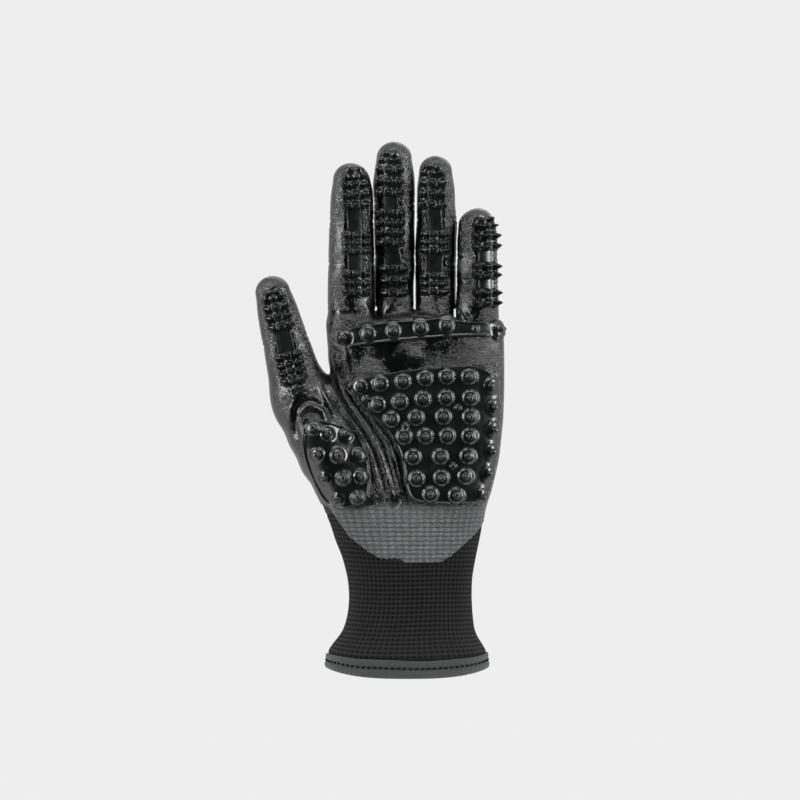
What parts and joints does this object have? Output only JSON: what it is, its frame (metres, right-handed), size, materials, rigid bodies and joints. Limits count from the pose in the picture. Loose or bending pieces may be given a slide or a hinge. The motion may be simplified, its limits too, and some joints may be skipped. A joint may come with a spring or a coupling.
{
  "type": "pet grooming glove",
  "caption": "Left-hand pet grooming glove: knitted liner with a dipped front coating, nubbed rubber pads on palm and fingers, and a bound knit cuff.",
  "frame": {"origin": "centre of the wrist opening, in the plane of the binding's lower edge", "axes": "+Z from the wrist opening towards the middle fingertip, palm facing -Y, +X towards the little finger"},
  "size_m": [0.1138, 0.0576, 0.2423],
  "materials": {
    "liner_knit": "matte knit",
    "coating": "semi-gloss dipped, knit showing through",
    "rubber": "gloss moulded",
    "cuff_knit": "matte waffle knit",
    "binding": "matte tape",
    "thread": "matte thread"
  },
  "bodies": {
    "hand": {"hand_liner": "liner_knit", "palm_coating": "coating", "knuckle_pad": "rubber", "palm_pad": "rubber", "thenar_pad": "rubber", "cuff": "cuff_knit", "cuff_binding": "binding", "cuff_stitching": "thread"},
    "index_proximal": {"index_proximal_liner": "liner_knit", "index_proximal_coating": "coating", "index_proximal_pad": "rubber"},
    "index_middle": {"index_middle_liner": "liner_knit", "index_middle_coating": "coating", "index_middle_pad": "rubber"},
    "index_tip": {"index_tip_liner": "liner_knit", "index_tip_coating": "coating", "index_tip_pad": "rubber"},
    "middle_proximal": {"middle_proximal_liner": "liner_knit", "middle_proximal_coating": "coating", "middle_proximal_pad": "rubber"},
    "middle_middle": {"middle_middle_liner": "liner_knit", "middle_middle_coating": "coating", "middle_middle_pad": "rubber"},
    "middle_tip": {"middle_tip_liner": "liner_knit", "middle_tip_coating": "coating", "middle_tip_pad": "rubber"},
    "ring_proximal": {"ring_proximal_liner": "liner_knit", "ring_proximal_coating": "coating", "ring_proximal_pad": "rubber"},
    "ring_middle": {"ring_middle_liner": "liner_knit", "ring_middle_coating": "coating", "ring_middle_pad": "rubber"},
    "ring_tip": {"ring_tip_liner": "liner_knit", "ring_tip_coating": "coating", "ring_tip_pad": "rubber"},
    "little_proximal": {"little_proximal_liner": "liner_knit", "little_proximal_coating": "coating", "little_proximal_pad": "rubber"},
    "little_middle": {"little_middle_liner": "liner_knit", "little_middle_coating": "coating", "little_middle_pad": "rubber"},
    "little_tip": {"little_tip_liner": "liner_knit", "little_tip_coating": "coating", "little_tip_pad": "rubber"},
    "thumb_proximal": {"thumb_proximal_liner": "liner_knit", "thumb_proximal_coating": "coating", "thumb_proximal_pad": "rubber"},
    "thumb_tip": {"thumb_tip_liner": "liner_knit", "thumb_tip_coating": "coating", "thumb_tip_pad": "rubber"}
  },
  "joints": [
    {"name": "index_proximal_bend", "type": "hinge", "parent": "hand", "child": "index_proximal", "pos_m": [-0.0255, -0.0124, 0.1653], "axis": [1, 0, 0], "range_deg": [0, 75], "stiffness_Nm_per_rad": 0.02},
    {"name": "index_middle_bend", "type": "hinge", "parent": "index_proximal", "child": "index_middle", "pos_m": [-0.0255, -0.0122, 0.1867], "axis": [1, 0, 0], "range_deg": [0, 80], "stiffness_Nm_per_rad": 0.02},
    {"name": "index_tip_bend", "type": "hinge", "parent": "index_middle", "child": "index_tip", "pos_m": [-0.0255, -0.0116, 0.2061], "axis": [1, 0, 0], "range_deg": [0, 50], "stiffness_Nm_per_rad": 0.02},
    {"name": "middle_proximal_bend", "type": "hinge", "parent": "hand", "child": "middle_proximal", "pos_m": [-0.006, -0.0071, 0.1673], "axis": [1, 0, 0], "range_deg": [0, 75], "stiffness_Nm_per_rad": 0.02},
    {"name": "middle_middle_bend", "type": "hinge", "parent": "middle_proximal", "child": "middle_middle", "pos_m": [-0.006, -0.0072, 0.1903], "axis": [1, 0, 0], "range_deg": [0, 80], "stiffness_Nm_per_rad": 0.02},
    {"name": "middle_tip_bend", "type": "hinge", "parent": "middle_middle", "child": "middle_tip", "pos_m": [-0.006, -0.0075, 0.2143], "axis": [1, 0, 0], "range_deg": [0, 50], "stiffness_Nm_per_rad": 0.02},
    {"name": "ring_proximal_bend", "type": "hinge", "parent": "hand", "child": "ring_proximal", "pos_m": [0.0129, -0.0074, 0.1663], "axis": [1, 0, 0], "range_deg": [0, 75], "stiffness_Nm_per_rad": 0.02},
    {"name": "ring_middle_bend", "type": "hinge", "parent": "ring_proximal", "child": "ring_middle", "pos_m": [0.0129, -0.0073, 0.1867], "axis": [1, 0, 0], "range_deg": [0, 80], "stiffness_Nm_per_rad": 0.02},
    {"name": "ring_tip_bend", "type": "hinge", "parent": "ring_middle", "child": "ring_tip", "pos_m": [0.0129, -0.007, 0.2068], "axis": [1, 0, 0], "range_deg": [0, 50], "stiffness_Nm_per_rad": 0.02},
    {"name": "little_proximal_bend", "type": "hinge", "parent": "hand", "child": "little_proximal", "pos_m": [0.03566, -0.00968, 0.1613], "axis": [0.9135, 0.4067, 0], "range_deg": [0, 75], "stiffness_Nm_per_rad": 0.02},
    {"name": "little_middle_bend", "type": "hinge", "parent": "little_proximal", "child": "little_middle", "pos_m": [0.03554, -0.00941, 0.1773], "axis": [0.9135, 0.4067, 0], "range_deg": [0, 75], "stiffness_Nm_per_rad": 0.02},
    {"name": "little_tip_bend", "type": "hinge", "parent": "little_middle", "child": "little_tip", "pos_m": [0.03542, -0.00913, 0.1897], "axis": [0.9135, 0.4067, 0], "range_deg": [0, 50], "stiffness_Nm_per_rad": 0.02},
    {"name": "thumb_proximal_bend", "type": "hinge", "parent": "hand", "child": "thumb_proximal", "pos_m": [-0.0486, -0.018, 0.1264], "axis": [0.9659, 0, 0.2588], "range_deg": [0, 45], "stiffness_Nm_per_rad": 0.02},
    {"name": "thumb_tip_bend", "type": "hinge", "parent": "thumb_proximal", "child": "thumb_tip", "pos_m": [-0.05536, -0.0158, 0.15161], "axis": [0.9659, 0, 0.2588], "range_deg": [0, 65], "stiffness_Nm_per_rad": 0.02}
  ]
}
